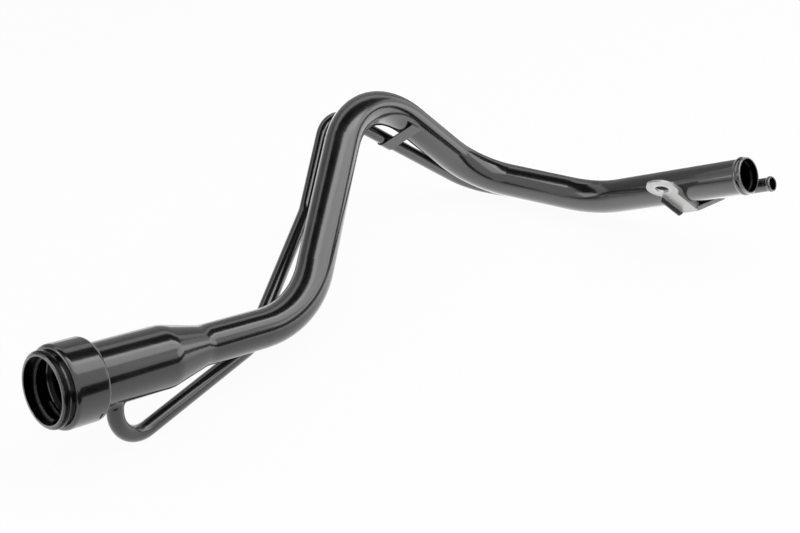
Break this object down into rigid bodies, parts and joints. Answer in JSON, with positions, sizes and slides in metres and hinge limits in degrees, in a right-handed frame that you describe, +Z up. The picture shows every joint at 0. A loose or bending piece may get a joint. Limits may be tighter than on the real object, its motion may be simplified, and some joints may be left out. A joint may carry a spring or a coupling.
{
  "type": "fuel filler neck",
  "caption": "Bent steel pipe that leads fuel from a flared, threaded filler mouth down to a hose end, with a thin breather tube beside it and a bolt-on bracket.",
  "frame": {"origin": "middle of the footprint, on the floor that the part rests on", "axes": "+Z up as the part lies at rest, +X along its longest side from the filler mouth to the hose end, +Y from the near side to the far side"},
  "size_m": [0.7191, 0.3149, 0.1481],
  "materials": {
    "black_paint": "glossy black paint over steel tube",
    "inner_paint": "black paint, a little duller, inside the mouth",
    "bracket_steel": "bare zinc-plated sheet steel, matt"
  },
  "bodies": {
    "root": {"filler_pipe": "black_paint", "neck_collar": "black_paint", "cap_seat": "inner_paint", "vent_tube": "black_paint", "pipe_strap": "black_paint", "mounting_bracket": "bracket_steel", "neck_weld": "black_paint", "vent_root_weld": "black_paint", "bracket_pipe_weld": "black_paint", "bracket_vent_weld": "black_paint", "strap_pipe_weld": "black_paint", "strap_vent_weld": "black_paint"}
  },
  "joints": []
}
